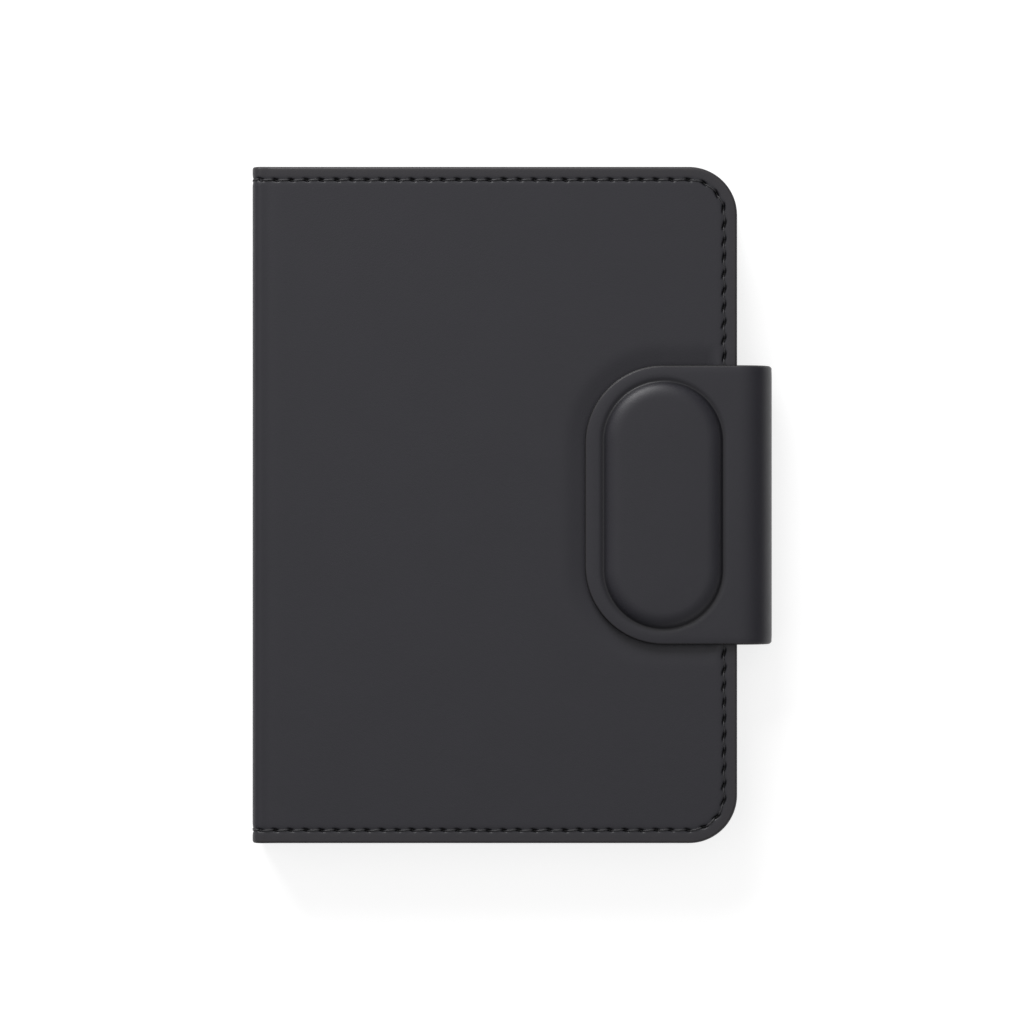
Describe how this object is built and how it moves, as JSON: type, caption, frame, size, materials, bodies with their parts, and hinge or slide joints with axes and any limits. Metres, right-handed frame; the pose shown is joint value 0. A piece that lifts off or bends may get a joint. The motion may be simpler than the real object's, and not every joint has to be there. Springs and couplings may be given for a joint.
{
  "type": "passport holder wallet",
  "caption": "Book-style passport wallet with a soft spine, sewn edges, card pockets, and a fore-edge strap ending in a magnetic tab with a raised pad.",
  "frame": {"origin": "centre of the back cover's outer face, which lies on the table", "axes": "+Z from the back cover to the front cover, +Y to the top edge along the spine, +X from the spine to the fore edge and the strap"},
  "size_m": [0.1076, 0.14, 0.0172],
  "materials": {
    "skin": "matte",
    "lining": "matte",
    "pocket": "matte",
    "thread": "satin",
    "board": "matte",
    "foam": "matte",
    "steel": "satin",
    "magnet": "satin"
  },
  "bodies": {
    "back_cover": {"back_cover_skin": "skin", "back_cover_board": "board", "back_cover_lining": "lining", "passport_sleeve": "pocket", "back_seam_outer_thread": "thread", "back_seam_inner_thread": "thread", "strap_anchor_skin": "skin", "strap_anchor_lining": "lining"},
    "spine": {"spine_skin": "skin", "spine_board": "board", "spine_lining": "lining", "spine_top_thread": "thread", "spine_bottom_thread": "thread"},
    "front_cover": {"front_cover_skin": "skin", "front_cover_board": "board", "keeper_plate": "steel", "front_cover_lining": "lining", "card_pocket_upper": "pocket", "card_pocket_middle": "pocket", "card_pocket_lower": "pocket", "front_seam_outer_thread": "thread", "front_seam_inner_thread": "thread"},
    "strap_edge": {"strap_edge_skin": "skin", "strap_edge_lining": "lining"},
    "strap_tab": {"tab_skin": "skin", "tab_lining": "lining", "tab_board": "board", "tab_foam_pad": "foam", "tab_magnet_upper": "magnet", "tab_magnet_lower": "magnet"}
  },
  "joints": [
    {"name": "spine_fold", "type": "hinge", "parent": "back_cover", "child": "spine", "pos_m": [-0.04977, 0, 0.00043], "axis": [0, -1, 0], "range_deg": [0, 90]},
    {"name": "cover_fold", "type": "hinge", "parent": "spine", "child": "front_cover", "pos_m": [-0.04977, 0, 0.01357], "axis": [0, -1, 0], "range_deg": [0, 90]},
    {"name": "strap_root", "type": "hinge", "parent": "back_cover", "child": "strap_edge", "pos_m": [0.05524, 0, 0.00301], "axis": [0, 1, 0], "range_deg": [0, 88]},
    {"name": "strap_fold", "type": "hinge", "parent": "strap_edge", "child": "strap_tab", "pos_m": [0.05524, 0, 0.01344], "axis": [0, 1, 0], "range_deg": [0, 88]}
  ],
  "couplings": [
    {"joint": "cover_fold", "follows": "spine_fold", "ratio": 1},
    {"joint": "strap_fold", "follows": "strap_root", "ratio": 1}
  ]
}
